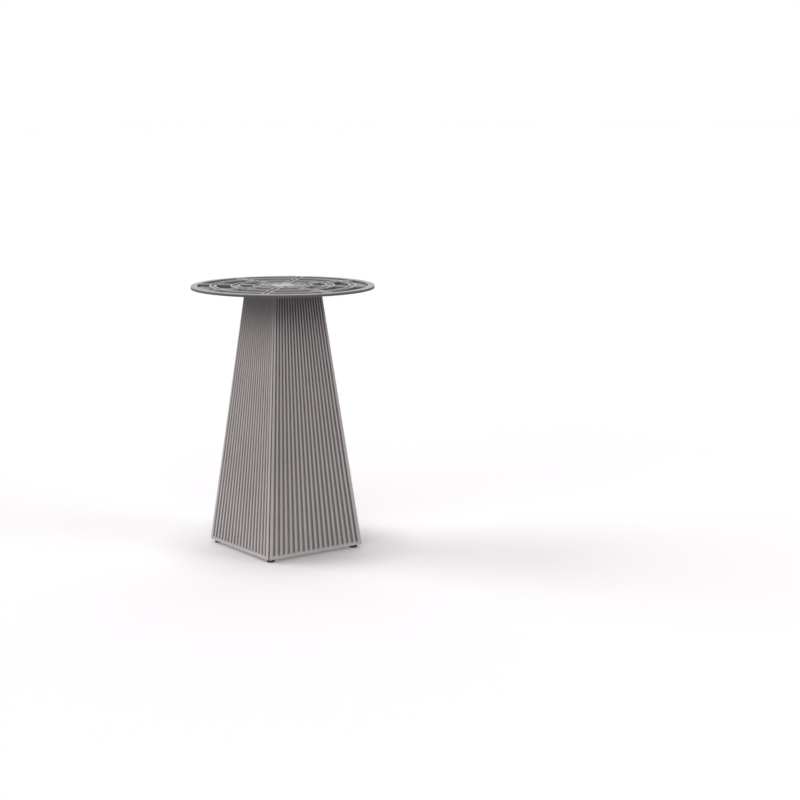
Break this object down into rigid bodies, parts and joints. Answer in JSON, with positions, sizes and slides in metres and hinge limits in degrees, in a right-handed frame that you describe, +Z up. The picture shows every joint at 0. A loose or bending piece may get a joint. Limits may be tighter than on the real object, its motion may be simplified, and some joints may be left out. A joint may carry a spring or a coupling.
{
  "type": "pedestal table base",
  "caption": "Slender square pedestal of tapering ribbed panels with a round openwork plate for a table top, on small levelling feet",
  "frame": {"origin": "centre of the base, on the floor under the feet", "axes": "+Z up; X and Y across the four faces of the base, the front face towards -Y"},
  "size_m": [0.5019, 0.502, 0.73],
  "materials": {
    "ribbed_panel": "fine matt grain, warm grey",
    "cast_plate": "shot-blasted casting, matt grey",
    "coated_steel": "black powder coat",
    "zinc_steel": "bright zinc",
    "foot_nylon": "black nylon"
  },
  "bodies": {
    "pedestal": {"top_plate": "cast_plate", "plate_bolts": "zinc_steel", "top_flange": "coated_steel", "column": "coated_steel", "neck_plate": "coated_steel", "base_plate": "coated_steel", "side_panel_front": "ribbed_panel", "side_panel_right": "ribbed_panel", "side_panel_back": "ribbed_panel", "side_panel_left": "ribbed_panel"},
    "foot_front_left": {"foot_pad_front_left": "foot_nylon", "foot_stud_front_left": "zinc_steel"},
    "foot_front_right": {"foot_pad_front_right": "foot_nylon", "foot_stud_front_right": "zinc_steel"},
    "foot_back_left": {"foot_pad_back_left": "foot_nylon", "foot_stud_back_left": "zinc_steel"},
    "foot_back_right": {"foot_pad_back_right": "foot_nylon", "foot_stud_back_right": "zinc_steel"}
  },
  "joints": [
    {"name": "foot_front_left_screw", "type": "slide", "parent": "pedestal", "child": "foot_front_left", "axis": [0, 0, -1], "range_m": [0, 0.01]},
    {"name": "foot_front_right_screw", "type": "slide", "parent": "pedestal", "child": "foot_front_right", "axis": [0, 0, -1], "range_m": [0, 0.01]},
    {"name": "foot_back_left_screw", "type": "slide", "parent": "pedestal", "child": "foot_back_left", "axis": [0, 0, -1], "range_m": [0, 0.01]},
    {"name": "foot_back_right_screw", "type": "slide", "parent": "pedestal", "child": "foot_back_right", "axis": [0, 0, -1], "range_m": [0, 0.01]}
  ]
}
